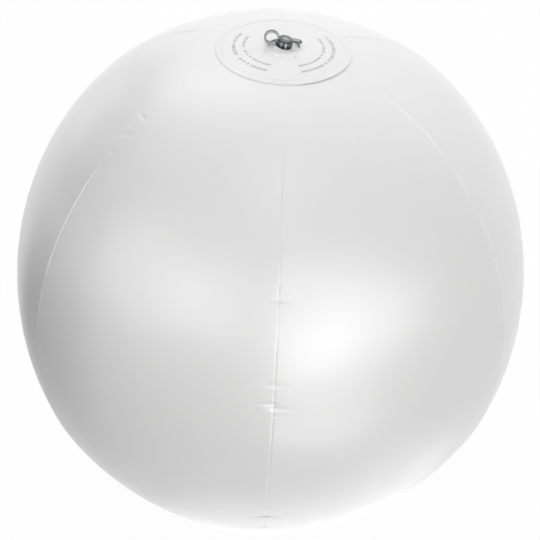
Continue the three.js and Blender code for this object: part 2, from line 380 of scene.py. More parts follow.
# %% Node helpers for the finishes
NOISE_LOW = 0.3
NOISE_HIGH = 0.7


def noise(tree, vector, scale):
    node = tree.nodes.new("ShaderNodeTexNoise")
    node.inputs["Scale"].default_value = scale
    tree.links.new(vector, node.inputs["Vector"])
    return node.outputs[0]


def stepped(tree, value, from_low, from_high, to_low=0, to_high=1):
    """Takes a value from one range to another with a straight rise, and flat beyond its ends."""
    node = tree.nodes.new("ShaderNodeMapRange")
    limits = (from_low, from_high, to_low, to_high)
    for name, limit in zip(("From Min", "From Max", "To Min", "To Max"), limits):
        node.inputs[name].default_value = limit
    tree.links.new(value, node.inputs["Value"])
    return node.outputs[0]


def patches(tree, place, scale, low, high):
    """Noise whose middle range runs from low to high."""
    return stepped(tree, noise(tree, place, scale), NOISE_LOW, NOISE_HIGH, low, high)


def mixed(tree, factor, first, second):
    """A mix of two colours. Each is four numbers or another node's output."""
    node = tree.nodes.new("ShaderNodeMix")
    node.data_type = "RGBA"
    tree.links.new(factor, node.inputs["Factor"])
    for name, colour in (("A", first), ("B", second)):
        if isinstance(colour, tuple):
            node.inputs[name].default_value = colour
        else:
            tree.links.new(colour, node.inputs[name])
    return node.outputs["Result"]


def bumped(tree, height, strength, distance, under=None):
    """A Bump node, laid over the relief that under gives."""
    node = tree.nodes.new("ShaderNodeBump")
    node.inputs["Strength"].default_value = strength
    node.inputs["Distance"].default_value = distance
    tree.links.new(height, node.inputs["Height"])
    if under is not None:
        tree.links.new(under, node.inputs["Normal"])
    return node.outputs[0]


def new_finish(name):
    """A material, its tree, its shader and its Object coordinates."""
    material = bpy.data.materials.new(name)
    material.use_nodes = True
    tree = material.node_tree
    shader = tree.nodes["Principled BSDF"]
    place = tree.nodes.new("ShaderNodeTexCoord").outputs["Object"]
    return material, tree, shader, place


def painted(tree, shader, colour, roughness, relief):
    """Links what varies over the surface to its shader."""
    for name, source in (("Base Color", colour), ("Roughness", roughness), ("Normal", relief)):
        tree.links.new(source, shader.inputs[name])


print("noise is read between", NOISE_LOW, "and", NOISE_HIGH)

# %% [markdown]
# Film and discs are the same soft vinyl: white, slightly milky and glossy, never quite
# smooth. Slow noise varies the colour and the roughness a little, and fine noise gives the
# faint grain of the film. Beside a seam the weld has drawn the film into tiny wrinkles that
# run across it. They read two attributes that the panel carries: its distance from the seam
# and its place along it. A third one marks a painted highlight: a thin white line painted
# where the weld itself catches the light. The shorthand m adds one Math node to the tree in
# hand.

# %% Finish of the film gores: patches have a scale and a range, bumps a strength and a height
FILM_WHITE = (0.89, 0.89, 0.885, 1)
FILM_MILKY = (0.865, 0.867, 0.865, 1)
# White of the painted highlights on welds and creases.
PAINTED_GLINT_WHITE = (1.0, 1.0, 1.0, 1)
FILM_COAT = 0.6
FILM_COAT_ROUGHNESS = 0.24
FILM_CLOUDS = 14
FILM_ROUGHNESS = (30, 0.38, 0.44)
GRAIN_SCALE = 700
FILM_GRAIN = (0.05, 0.00012)
WRINKLE_SCALE = 420
WRINKLE_STRETCH = 0.16
WRINKLE_REACH = 0.007
WRINKLE_BUMP = (0.5, 0.0003)


def with_painted_glints(tree, colour):
    """Paints a highlight: turns a colour white where the mesh marks a glint on a weld or a
    crease.
    """
    return mixed(tree, attribute(tree, "painted_glint"), colour, PAINTED_GLINT_WHITE)


film_finish, tree, shader, place = new_finish("film_vinyl")
m = partial(maths, tree)
shader.inputs["Coat Weight"].default_value = FILM_COAT
shader.inputs["Coat Roughness"].default_value = FILM_COAT_ROUGHNESS
gap = attribute(tree, "seam_gap")
across = tree.nodes.new("ShaderNodeCombineXYZ")
tree.links.new(attribute(tree, "seam_along"), across.inputs["X"])
tree.links.new(m("MULTIPLY", gap, WRINKLE_STRETCH), across.inputs["Y"])
nearness = m("MAXIMUM", m("SUBTRACT", 1.0, m("DIVIDE", gap, WRINKLE_REACH)), 0.0)
wrinkles = m("MULTIPLY", noise(tree, across.outputs[0], WRINKLE_SCALE), m("POWER", nearness, 2.0))
grain = bumped(tree, noise(tree, place, GRAIN_SCALE), *FILM_GRAIN)
clouds = mixed(tree, noise(tree, place, FILM_CLOUDS), FILM_WHITE, FILM_MILKY)
# The weld lines take their painted highlight here.
painted(tree, shader, with_painted_glints(tree, clouds), patches(tree, place, *FILM_ROUGHNESS),
        bumped(tree, wrinkles, *WRINKLE_BUMP, grain))
print("finish", film_finish.name)

# %% [markdown]
# The end disc is cut from slightly heavier, glossier film. It carries two plain rings of
# short grey strokes, left open at the front and back. They are drawn by the material in polar
# coordinates: the distance from the axis picks the ring, and the angle round the axis, times
# a count, picks the stroke. White noise gives each stroke its own width, and leaves some out,
# so that they stand in loose groups.

# %% The printed strokes: each ring has a radius, a height and a count of strokes
STROKE_RINGS = ((0.0259, 0.0018, 124), (0.0208, 0.0015, 100))
THINNEST_STROKE = 0.3
THICKEST_STROKE = 0.68
LEFT_OUT = 0.1
STROKES_FROM = 0.055
STROKES_TO = 0.34


def from_axis(tree, x, y):
    """The distance of x, y from the axis."""
    m = partial(maths, tree)
    return m("SQRT", m("ADD", m("MULTIPLY", x, x), m("MULTIPLY", y, y)))


def bearing(tree, x, y):
    """The angle of x, y round the axis in radians, from 0 at the front."""
    return maths(tree, "ARCTAN2", x, maths(tree, "MULTIPLY", y, -1.0))


def largest(tree, values):
    total = values[0]
    for value in values[1:]:
        total = maths(tree, "MAXIMUM", total, value)
    return total


def stroke_mask(tree, place):
    """1 on a printed stroke and 0 on bare film."""
    m = partial(maths, tree)
    parts = tree.nodes.new("ShaderNodeSeparateXYZ")
    tree.links.new(place, parts.inputs[0])
    x, y, _ = parts.outputs
    radius = from_axis(tree, x, y)
    turn = m("DIVIDE", bearing(tree, x, y), 2 * math.pi)
    side = m("ABSOLUTE", turn)
    open_part = m("MULTIPLY", m("GREATER_THAN", side, STROKES_FROM),
                  m("LESS_THAN", side, STROKES_TO))
    rings = []
    for middle, height, count in STROKE_RINGS:
        ring = m("LESS_THAN", m("ABSOLUTE", m("SUBTRACT", radius, middle)), height / 2)
        cells = m("MULTIPLY", turn, float(count))
        dice = tree.nodes.new("ShaderNodeTexWhiteNoise")
        dice.noise_dimensions = "1D"
        tree.links.new(m("FLOOR", cells), dice.inputs["W"])
        thrown = dice.outputs["Value"]
        thick = m("MULTIPLY_ADD", thrown, THICKEST_STROKE - THINNEST_STROKE, THINNEST_STROKE)
        kept = m("GREATER_THAN", thrown, LEFT_OUT)
        stroke = m("MULTIPLY", kept, m("LESS_THAN", m("FRACT", cells), thick))
        rings.append(m("MULTIPLY", ring, stroke))
    return m("MULTIPLY", largest(tree, rings), open_part)


print("strokes", sum(count for _, _, count in STROKE_RINGS), "before some are left out")

# %% [markdown]
# The two discs share one recipe. The heavier film shows slow ripples under its grain, and its
# coat is smoother than the gores', so its highlights are tighter. Only the disc at the valve
# carries the strokes.

# %% Finish of the end discs
DISC_WHITE = (0.885, 0.885, 0.88, 1)
STROKE_GREY = (0.36, 0.365, 0.37, 1)
DISC_COAT = 0.5
DISC_COAT_ROUGHNESS = 0.15
DISC_CLOUDS = 40
DISC_ROUGHNESS = (60, 0.32, 0.38)
RIPPLE_SCALE = 160
DISC_RIPPLES = (0.05, 0.0002)
DISC_GRAIN = (0.04, 0.0001)


def disc_finish(name, printed):
    material, tree, shader, place = new_finish(name)
    shader.inputs["Coat Weight"].default_value = DISC_COAT
    shader.inputs["Coat Roughness"].default_value = DISC_COAT_ROUGHNESS
    colour = mixed(tree, noise(tree, place, DISC_CLOUDS), DISC_WHITE, FILM_MILKY)
    if printed:
        colour = mixed(tree, stroke_mask(tree, place), colour, STROKE_GREY)
    ripples = bumped(tree, noise(tree, place, RIPPLE_SCALE), *DISC_RIPPLES)
    grain = bumped(tree, noise(tree, place, GRAIN_SCALE), *DISC_GRAIN, ripples)
    # Painted highlights go on where the mesh marks glints.
    painted(tree, shader, with_painted_glints(tree, colour), patches(tree, place, *DISC_ROUGHNESS), grain)
    return material


valve_disc_finish = disc_finish("disc_vinyl_printed", True)
base_disc_finish = disc_finish("disc_vinyl_plain", False)
print("finishes", valve_disc_finish.name, base_disc_finish.name)

# %% [markdown]
# The valve is moulded from clear smoky vinyl. Its finishes follow its own forms, so they need
# its own axes: a Mapping node of type Texture undoes the lean. All of them share the gloss
# and the faint waves of a moulded surface, and each brings its own tint.

# %% The valve's axes and its clear vinyl
VALVE_LEAN = math.radians(10)
VINYL_IOR = 1.5
VINYL_ROUGHNESS = (500, 0.04, 0.09)
WAVE_SCALE = 450
VINYL_WAVES = (0.15, 0.0003)


def neck_frame(tree, place):
    """The place in the valve's own upright axes, with the lean undone."""
    upright = tree.nodes.new("ShaderNodeMapping")
    upright.vector_type = "TEXTURE"
    upright.inputs["Location"].default_value = (0, 0, seat_height)
    upright.inputs["Rotation"].default_value = (0, VALVE_LEAN, 0)
    tree.links.new(place, upright.inputs["Vector"])
    parts = tree.nodes.new("ShaderNodeSeparateXYZ")
    tree.links.new(upright.outputs[0], parts.inputs[0])
    return parts.outputs


def clear_finish(name, tint, clearness):
    """Clear vinyl. The function tint draws its colour and returns the output."""
    material, tree, shader, place = new_finish(name)
    shader.inputs["Transmission Weight"].default_value = clearness
    shader.inputs["IOR"].default_value = VINYL_IOR
    waves = bumped(tree, noise(tree, place, WAVE_SCALE), *VINYL_WAVES)
    painted(tree, shader, tint(tree, place), patches(tree, place, *VINYL_ROUGHNESS), waves)
    return material


print("valve leans", round(math.degrees(VALVE_LEAN)), "degrees")

# %% [markdown]
# Light crosses the most vinyl near an outline, so a clear form looks dark there and pale in
# its middle: the Layer Weight node mixes the two tints. The head is pale in its thin dish and
# dark in its thick ring, and the tab is pale along its middle. The thin membrane is the same
# vinyl but looks milky, and the flange under the disc looks smoky.

# %% Tints of the strap, the head, the tab, the membrane and the flange
CLEAR_MIDDLE = (0.56, 0.57, 0.58, 1)
CLEAR_OUTLINE = (0.06, 0.063, 0.067, 1)
OUTLINE_PATCHES = (260, 0.75, 1.25)
HEAD_DISH = (0.50, 0.51, 0.52, 1)
HEAD_RING = (0.20, 0.204, 0.21, 1)
HEAD_PATCHES = (700, 0.0, 0.4)
DISH_EDGE = 0.0021
DISH_FADE = 0.0003
TAB_PALE = (0.60, 0.61, 0.62, 1)
TAB_DARK = (0.13, 0.134, 0.14, 1)
TAB_PATCHES = (500, 0.0, 0.35)
TAB_SIDE_FADE = (0.0007, 0.0012)
TAB_END_FADE = (0.0068, 0.0080)
CLOUD_SCALE = 300
MILKY_TINTS = ((0.97, 0.97, 0.97, 1), (0.91, 0.915, 0.92, 1))
SMOKY_TINTS = ((0.62, 0.625, 0.63, 1), (0.40, 0.41, 0.42, 1))


def dark_outline(tree, place):
    facing = tree.nodes.new("ShaderNodeLayerWeight").outputs["Facing"]
    uneven = patches(tree, place, *OUTLINE_PATCHES)
    return mixed(tree, maths(tree, "MULTIPLY", facing, uneven), CLEAR_MIDDLE, CLEAR_OUTLINE)


def pale_dish(tree, place):
    x, y, _ = neck_frame(tree, place)
    ring = stepped(tree, from_axis(tree, x, y), DISH_EDGE - DISH_FADE, DISH_EDGE)
    uneven = patches(tree, place, *HEAD_PATCHES)
    return mixed(tree, largest(tree, [ring, uneven]), HEAD_DISH, HEAD_RING)


def pale_middle(tree, place):
    x, y, _ = neck_frame(tree, place)
    side = stepped(tree, maths(tree, "ABSOLUTE", y), *TAB_SIDE_FADE)
    end = stepped(tree, x, *TAB_END_FADE)
    uneven = patches(tree, place, *TAB_PATCHES)
    return mixed(tree, largest(tree, [side, end, uneven]), TAB_PALE, TAB_DARK)


def cloudy(tree, place, tints):
    return mixed(tree, noise(tree, place, CLOUD_SCALE), *tints)


clear_vinyl = clear_finish("clear_vinyl", dark_outline, clearness=0.5)
head_vinyl = clear_finish("head_vinyl", pale_dish, clearness=0.15)
tab_vinyl = clear_finish("tab_vinyl", pale_middle, clearness=0.3)
milky_vinyl = clear_finish("milky_vinyl", partial(cloudy, tints=MILKY_TINTS), clearness=0)
flange_vinyl = clear_finish("flange_vinyl", partial(cloudy, tints=SMOKY_TINTS), clearness=0)
for finish in (clear_vinyl, head_vinyl, tab_vinyl, milky_vinyl, flange_vinyl):
    print("finish", finish.name)

# %% [markdown]
# The neck's bore looks down into the dark inside of the ball, so painted shade makes the
# neck nearly black at its foot. Above, the plug's stem shows through and makes it smoky.
# A few painted highlights run down its wall as bright streaks, where the lamps shine through
# the clear vinyl: each is a short stretch of the angle round the neck, brightest in its middle.

# %% Neck's painted shade and highlight streaks: middle and half width in degrees, strength
NECK_PAINTED_SHADE = (0.022, 0.023, 0.025, 1)
NECK_SMOKE = (0.20, 0.204, 0.21, 1)
SMOKE_RISE = (0.0014, 0.0022)
SMOKE_PATCHES = (900, 0.3, 1.3)
PAINTED_STREAK_HIGHLIGHT = (0.80, 0.81, 0.82, 1)
STREAK_RISE = (0.0004, 0.0012)
STREAK_PATCHES = (600, 0.7, 1.6)
PAINTED_STREAKS = (
    (-28, 7, 0.5), (7, 8, 1.5), (75, 6, 0.7), (140, 7, 0.9), (-95, 6, 0.7), (-150, 5, 0.6),
)


# Paints the shade of the dark bore and the highlight streaks into the neck's colour.
def painted_neck_shade_and_streaks(tree, place):
    m = partial(maths, tree)
    x, y, z = neck_frame(tree, place)
    turn = m("MULTIPLY", bearing(tree, x, y), 180 / math.pi)
    streaks = []
    for middle, half_width, strength in PAINTED_STREAKS:
        off = m("ABSOLUTE", m("SUBTRACT", turn, float(middle)))
        streak = m("SUBTRACT", 1.0, m("DIVIDE", off, float(half_width)))
        streaks.append(m("MULTIPLY", streak, strength))
    uneven = patches(tree, place, *STREAK_PATCHES)
    share = m("MULTIPLY", m("MAXIMUM", largest(tree, streaks), 0.0), uneven)
    share = m("MULTIPLY", share, stepped(tree, z, *STREAK_RISE))
    smoke = m("MULTIPLY", stepped(tree, z, *SMOKE_RISE), patches(tree, place, *SMOKE_PATCHES))
    return mixed(tree, share, mixed(tree, smoke, NECK_PAINTED_SHADE, NECK_SMOKE), PAINTED_STREAK_HIGHLIGHT)


# The neck's colour carries painted shade at its foot and painted highlight streaks.
neck_vinyl = clear_finish("neck_vinyl", painted_neck_shade_and_streaks, clearness=0.1)
print("finish", neck_vinyl.name, "with", len(PAINTED_STREAKS), "streaks")

# %% [markdown]
# A gore is a strip of film that the air bows. It follows a rule, so Geometry Nodes make it:
# a flat grid goes in, and a formula in Math nodes puts each of its points on the ball.
# The grid's columns crowd towards the seams by a cube law, because the film only turns
# sharply there: it sinks into a shallow valley along the weld. Past the valley's bottom the
# strip goes on inwards as the weld fin.

# %% The formula that bows a film panel
FIN_DEPTH = 0.004
FIN_SHARE = 0.1
TIP_SETBACK = 0.0004
CROWDING = 3.0
PANEL_SIZES = {
    "Middle azimuth": 0.0,
    "Half angle": gore_angle / 2,
    "Belly radius": BELLY_RADIUS,
    "Seam rise": SEAM_RISE,
    "Half height": MERIDIAN_HALF_HEIGHT,
    "Pole drop": POLE_DROP,
    "Centre height": centre_height,
    "Tip latitude": math.acos((band_inner_radius + TIP_SETBACK) / seam_radius),
    "Valley reach": 0.0009,
    "Valley depth": 0.00012,
    "Seam inset": 0.000015,
    "Fin depth": FIN_DEPTH,
}


def bowed(tree, size, x, y):
    """A grid point's place on the ball, its distance from the seam and its place along it."""
    m = partial(maths, tree)
    to_seam = m("SUBTRACT", 1.0, m("ABSOLUTE", x))
    crowded = m("POWER", m("MAXIMUM", to_seam, 0.0), CROWDING)
    share = m("MULTIPLY", m("SIGN", x), m("SUBTRACT", 1.0, crowded))
    beyond = m("DIVIDE", m("MAXIMUM", m("MULTIPLY", to_seam, -1.0), 0.0), FIN_SHARE)
    fin = m("MULTIPLY", beyond, size["Fin depth"])
    latitude = m("MULTIPLY", y, size["Tip latitude"])
    sine, cosine = m("SINE", latitude), m("COSINE", latitude)
    power = m("POWER", m("ABSOLUTE", sine), float(POLE_DROP_POWER))
    bulge = m("MULTIPLY", share, share)
    equator = m("MULTIPLY_ADD", bulge, size["Seam rise"], size["Belly radius"])
    radius = m("MULTIPLY", equator, cosine)
    drop = m("MULTIPLY", m("MULTIPLY", size["Pole drop"], power), sine)
    height = m("SUBTRACT", m("MULTIPLY", size["Half height"], sine), drop)
    slope_radius = m("MULTIPLY", m("MULTIPLY", equator, sine), -1.0)
    steeper = m("MULTIPLY", m("MULTIPLY", size["Pole drop"], power), float(POLE_DROP_POWER + 1))
    slope_height = m("MULTIPLY", m("SUBTRACT", size["Half height"], steeper), cosine)
    length = m("SQRT", m("ADD", m("MULTIPLY", slope_radius, slope_radius),
                         m("MULTIPLY", slope_height, slope_height)))
    width = m("MULTIPLY", m("MULTIPLY", size["Half angle"], size["Belly radius"]), cosine)
    gap = m("MULTIPLY", crowded, width)
    into = m("MAXIMUM", m("SUBTRACT", 1.0, m("DIVIDE", gap, size["Valley reach"])), 0.0)
    depth = m("MULTIPLY_ADD", m("MULTIPLY", into, into), size["Valley depth"], fin)
    radius = m("SUBTRACT", radius, m("DIVIDE", m("MULTIPLY", depth, slope_height), length))
    height = m("ADD", height, m("DIVIDE", m("MULTIPLY", depth, slope_radius), length))
    azimuth = m("MULTIPLY_ADD", share, size["Half angle"], size["Middle azimuth"])
    inset = m("MULTIPLY", m("MULTIPLY", m("SIGN", share), size["Seam inset"]), -1.0)
    sin_az, cos_az = m("SINE", azimuth), m("COSINE", azimuth)
    place = tree.nodes.new("ShaderNodeCombineXYZ")
    for socket, value in zip(place.inputs, (
            m("ADD", m("MULTIPLY", radius, sin_az), m("MULTIPLY", inset, cos_az)),
            m("SUBTRACT", m("MULTIPLY", inset, sin_az), m("MULTIPLY", radius, cos_az)),
            m("ADD", height, size["Centre height"]))):
        tree.links.new(value, socket)
    return place.outputs[0], m("ADD", gap, fin), m("MULTIPLY", latitude, size["Half height"])


print("panel sizes", len(PANEL_SIZES))

# %% [markdown]
# The tree itself is a chain: the grid, two stored attributes that the finish reads, the move
# to the bowed places, smooth shading, Realize Instances and the material. One tree serves all
# six panels, and only the input for the middle azimuth differs. A modifier's input goes by an
# identifier, not by its name, so those are looked up once.

# %% The tree that makes a film panel
PANEL_ROWS = 980
PANEL_COLUMNS = 45


def chained(tree, kind, geometry):
    """One more node on the way of the geometry."""
    node = tree.nodes.new(kind)
    tree.links.new(geometry, node.inputs["Geometry"])
    return node


def film_panel_tree():
    tree = bpy.data.node_groups.new("film_panel", "GeometryNodeTree")
    for name, value in PANEL_SIZES.items():
        socket = tree.interface.new_socket(
            name=name, in_out="INPUT", socket_type="NodeSocketFloat")
        socket.default_value = value
    tree.interface.new_socket(name="Finish", in_out="INPUT", socket_type="NodeSocketMaterial")
    tree.interface.new_socket(name="Panel", in_out="OUTPUT", socket_type="NodeSocketGeometry")
    size = tree.nodes.new("NodeGroupInput").outputs
    grid = tree.nodes.new("GeometryNodeMeshGrid")
    grid.inputs["Size X"].default_value = 2 + 2 * FIN_SHARE
    grid.inputs["Size Y"].default_value = 2
    grid.inputs["Vertices X"].default_value = PANEL_COLUMNS
    grid.inputs["Vertices Y"].default_value = PANEL_ROWS
    parts = tree.nodes.new("ShaderNodeSeparateXYZ")
    tree.links.new(tree.nodes.new("GeometryNodeInputPosition").outputs[0], parts.inputs[0])
    place, gap, along = bowed(tree, size, *parts.outputs[:2])
    geometry = grid.outputs["Mesh"]
    for name, value in (("seam_gap", gap), ("seam_along", along)):
        store = chained(tree, "GeometryNodeStoreNamedAttribute", geometry)
        store.data_type = "FLOAT"
        store.domain = "POINT"
        store.inputs["Name"].default_value = name
        tree.links.new(value, store.inputs["Value"])
        geometry = store.outputs["Geometry"]
    move = chained(tree, "GeometryNodeSetPosition", geometry)
    tree.links.new(place, move.inputs["Position"])
    smooth = chained(tree, "GeometryNodeSetShadeSmooth", move.outputs["Geometry"])
    real = chained(tree, "GeometryNodeRealizeInstances", smooth.outputs["Geometry"])
    paint = chained(tree, "GeometryNodeSetMaterial", real.outputs["Geometry"])
    tree.links.new(size["Finish"], paint.inputs["Material"])
    out = tree.nodes.new("NodeGroupOutput")
    tree.links.new(paint.outputs["Geometry"], out.inputs["Panel"])
    return tree


panel_tree = film_panel_tree()
panel_sockets = {item.name: item.identifier for item in panel_tree.interface.items_tree
                 if item.in_out == "INPUT"}
print("film_panel tree", len(panel_tree.nodes), "nodes")

# %% [markdown]
# A weld shrinks the film along a seam, so a blown-up ball has puckers: short sharp creases
# that cross the seam and die out in the panel. A bump map alone can't bend a highlight as a
# real crease does, so they are moved into the mesh. Each pucker has a place along the seam,
# a depth, a width, a reach to the left and right, and a slant. Those of the front seam stand
# where the picture shows them, and the other seams get seeded ones of the same kind.

# %% Puckers, in millimetres: along, depth, width, reach left, reach right, slant
FRONT_PUCKERS = (
    (100.4, 0.3, 0.9, 1, 5, 0), (80.8, 0.24, 0.8, 3, 3, 0), (73.2, 0.45, 1.2, 8, 14, -0.06),
    (52.0, 0.08, 0.8, 4, 4, 0), (29.2, 0.5, 1.3, 9, 9, -0.05), (23.5, 0.2, 0.9, 6, 6, 0),
    (18.2, 0.85, 1.1, 13, 4, -0.02), (15.9, 0.75, 1.2, 5, 18, -0.04),
    (11.6, 0.42, 1.1, 1, 11, -0.02), (-9.0, 0.14, 1.0, 9, 2, 0.1), (-38.0, 0.16, 1.2, 5, 6, 0.04),
    (-60.5, 0.25, 1.1, 4, 4, 0), (-72.5, 0.9, 1.1, 10, 10, 0), (-91.0, 0.4, 1.5, 8, 7, 0),
)
RIGHT_PUCKERS = (
    (147.0, 0.3, 1.6, 5, 9, 0.3), (140.5, 0.26, 1.3, 7, 4, 0.2), (132.1, 0.26, 1.0, 6, 7, 0),
)
LEFT_PUCKERS = (
    (128.0, 0.4, 1.6, 3, 6, 0.7), (117.0, 0.26, 1.4, 4, 10, 0.4), (108.0, 0.24, 1.2, 3, 9, 0.2),
)
FRONT_SEAM, RIGHT_SEAM, BACK_RIGHT_SEAM, LEFT_SEAM = 0, 1, 2, 5
DEEP_SEAMS = (3, 4)
DEEP_PUCKERS = (0.1, 0.14, 0.2, 0.3, 0.5)
SHALLOW_PUCKERS = (0.08, 0.1, 0.14, 0.2, 0.3)
PUCKER_SEED = 400
PUCKERS_FROM = -165.0
PUCKERS_TO = 175
PUCKER_STEP = (10, 38)
PUCKER_WIDTH = (0.8, 1.3)
PUCKER_REACH = (4, 12)
PUCKER_SLANT = (-0.1, 0.1)


def seeded_puckers(seam):
    """About one pucker every 24 mm, never twice alike, and the same on every run."""
    dice = random.Random(PUCKER_SEED + seam)
    found = []
    spot = PUCKERS_FROM
    while spot < PUCKERS_TO:
        depth = dice.choice(DEEP_PUCKERS if seam in DEEP_SEAMS else SHALLOW_PUCKERS)
        sizes = [dice.uniform(*PUCKER_WIDTH), dice.uniform(*PUCKER_REACH),
                 dice.uniform(*PUCKER_REACH), dice.uniform(*PUCKER_SLANT)]
        found.append((spot, depth, *sizes))
        spot += dice.uniform(*PUCKER_STEP)
    return found


puckers = {seam: seeded_puckers(seam) for seam in range(1, GORE_COUNT)}
puckers[FRONT_SEAM] = FRONT_PUCKERS
puckers[RIGHT_SEAM] += RIGHT_PUCKERS
puckers[LEFT_SEAM] += LEFT_PUCKERS
print("puckers", sum(len(p) for p in puckers.values()))

# %% [markdown]
# Along the seam itself the film sinks into the valley that the tree has made, here deeper
# and there shallower. For the four seams that the picture shows a short table gives the
# extra depth. Where it is below zero it fills the tree's valley, and the seam fades. The
# other two get a sum of sines, so their line breaks up as well.

# %% Extra depth of the seam valleys, in millimetres: along, depth
VALLEYS = {
    FRONT_SEAM: (
        (-220, 0.16), (-100, 0.02), (-56, 0.04), (-46, 0.2), (10, 0.2), (12, 0.04), (17, 0.03),
        (24, 0.14), (29, 0.06), (33, 0.17), (46, 0.2), (52, 0.05), (72, 0.05), (73.6, 0.02),
        (74.6, 0.42), (79.4, 0.38), (80.2, 0.02), (100, 0.07), (108, 0.0), (118, 0.03),
        (122, 0.12), (135, 0.24), (147, 0.16), (152, -0.02), (220, 0.0)),
    RIGHT_SEAM: (
        (-220, 0.05), (70, -0.06), (120, -0.08), (150, -0.03), (165, 0.04), (190, 0.06),
        (220, 0.0)),
    BACK_RIGHT_SEAM: ((-220, 0.1), (120, 0.08), (150, 0.2), (185, 0.34), (220, 0.0)),
    LEFT_SEAM: (
        (-220, 0.05), (0, 0.06), (20, 0.12), (60, 0.18), (96, 0.2), (104, 0.14), (107, -0.08),
        (186, -0.1), (220, 0.0)),
}
BROKEN_DEPTH = 0.2
BROKEN_SWING = 0.07
BROKEN_DEEPEST = 0.5
SLOW_WAVES = (13, 5.7)
QUICK_WAVES = (1.9, 3.1)
SLOW_SHIFT = 2.1
QUICK_SHIFT = 4


def valley(number, along):
    """Extra depth of the valley in millimetres, along the seam of this number."""
    if number in VALLEYS:
        return np.interp(along, *zip(*VALLEYS[number]))
    slow = np.sin(along / SLOW_WAVES[0] + SLOW_SHIFT * number)
    slow += np.sin(along / SLOW_WAVES[1] + number)
    quick = np.sin(along / QUICK_WAVES[0] + QUICK_SHIFT * number) * np.sin(along / QUICK_WAVES[1])
    depth = BROKEN_DEPTH + BROKEN_SWING * slow + BROKEN_SWING * quick
    return np.clip(depth, 0, BROKEN_DEEPEST)


print("valleys", len(VALLEYS), "from tables,", GORE_COUNT - len(VALLEYS), "from sines")

# %% [markdown]
# A point of the film is told by its nearest seam, and by how far it lies beside and along it.
# The distance along a seam is measured on a finely stepped meridian and then read back from
# the point's height.

# %% Where a point lies on the film
MERIDIAN_STEPS = 2001

latitudes = np.linspace(-math.pi / 2, math.pi / 2, MERIDIAN_STEPS)
profile_height = meridian_height(np.sin(latitudes))
profile_steps = np.hypot(np.diff(seam_radius * np.cos(latitudes)), np.diff(profile_height))
profile_along = np.concatenate([[0], np.cumsum(profile_steps)])
profile_along -= np.interp(0, latitudes, profile_along)


def round_axis(points):
    """Each point's distance from the axis, and its angle round it from the front."""
    return np.hypot(points[:, 0], points[:, 1]), np.arctan2(points[:, 0], -points[:, 1])


def seam_place(points):
    """Each point's nearest seam, and how far beside and along it the point lies in mm."""
    radius, azimuth = round_axis(points)
    height = np.clip(points[:, 2] - centre_height, profile_height[0], profile_height[-1])
    along = np.interp(height, profile_height, profile_along) / MM
    nearest = np.round(azimuth / gore_angle).astype(int)
    side = (azimuth - nearest * gore_angle) * radius / MM
    return nearest % GORE_COUNT, side, along


print("a seam runs", round(2 * profile_along[-1] / MM), "mm from pole to pole")

# %% [markdown]
# All that draws the film in is added up here: the puckers, each a sharp crease in a wider
# hollow, the valley, shallow scallops beside every seam, and a few broad dents that show in
# the left panel. Nothing rises above the unpuckered film, so the ball stays inside its CAD
# box.

# %% How far the film sinks; dents: azimuth and latitude in degrees, size and depth in mm
VALLEY_REACH = 1.0
HOLLOW_SHARE = 0.2
HOLLOW_WIDTHS = 4
SCALLOP_DEPTH = 0.035
SCALLOP_REACH = 9.0
SCALLOP_WAVES = (2.9, 5.3)
SCALLOP_SHIFT = 1.7
DENTS = (
    (-52.2, 30.9, 7.0, 0.35), (-8.4, 30.6, 4.0, 0.12), (-42.0, 44.5, 3.2, 0.16),
    (5.8, 27.5, 2.4, 0.05),
)


def seam_sink(number, side, along):
    """Depth in millimetres that one seam draws in the points beside it."""
    total = valley(number, along) * np.clip(1 - np.abs(side) / VALLEY_REACH, 0, 1) ** 2
    for spot, depth, width, reach_left, reach_right, slant in puckers[number]:
        reach = np.where(side < 0, reach_left, reach_right)
        fade = np.clip(1 - np.abs(side) / reach, 0, 1) ** 2
        crease = np.exp(-((along - spot - slant * side) / width) ** 2)
        hollow = np.exp(-((along - spot) / (HOLLOW_WIDTHS * width)) ** 2)
        total += depth * fade * (crease + HOLLOW_SHARE * hollow)
    phase = SCALLOP_SHIFT * number
    scallop = 2 + np.sin(along / SCALLOP_WAVES[0] + phase)
    scallop += np.sin(along / SCALLOP_WAVES[1] + 2 * phase)
    return total + SCALLOP_DEPTH * scallop * np.exp(-np.abs(side) / SCALLOP_REACH)


def film_sink(points):
    """Depth in metres that each point is drawn in."""
    seam, side, along = seam_place(points)
    radius, azimuth = round_axis(points)
    sink = np.zeros(len(points))
    for number in puckers:
        here = seam == number
        sink[here] = seam_sink(number, side[here], along[here])
    for dent_azimuth, dent_latitude, size, depth in DENTS:
        middle_along = np.interp(math.radians(dent_latitude), latitudes, profile_along) / MM
        sideways = (azimuth - math.radians(dent_azimuth)) * radius / MM
        sink += depth * np.exp(-(sideways ** 2 + (along - middle_along) ** 2) / size ** 2)
    return sink * MM


print("dents", len(DENTS))

# %% [markdown]
# Along some stretches a painted highlight runs on the weld line where it glints, as a broken
# row of white dots. A sum of waves along the seam makes the dots, and they are stored on the
# mesh for the finish, which paints them white. The last helper draws a panel in along the
# ball's own normals and marks its painted glints.

# %% Painted glints on the welds, in millimetres: seam, from, to, reach, strength
PAINTED_GLINT_SEAMS = (
    (FRONT_SEAM, -125, -54, 0.5, 0.8), (FRONT_SEAM, 42, 80, 0.4, 0.55),
    (RIGHT_SEAM, -60, 172, 0.6, 0.75), (RIGHT_SEAM, 128, 158, 1.3, 0.4),
    (LEFT_SEAM, -20, 109, 0.4, 0.6),
)
SHINE_FADE = 8
SHINE_EDGE = 0.4
DOT_MEAN = 0.75
DOT_WAVES = ((0.3, 1.3, 0), (0.35, 4.1, 1))  # swing, length, shift
DOT_BEAT = (0.3, 0.53, 2, 9)  # swing, length, shift, length of the slower wave


def ramp(value, low, high):
    t = np.clip((np.asarray(value, float) - low) / (high - low), 0, 1)
    return t * t * (3 - 2 * t)


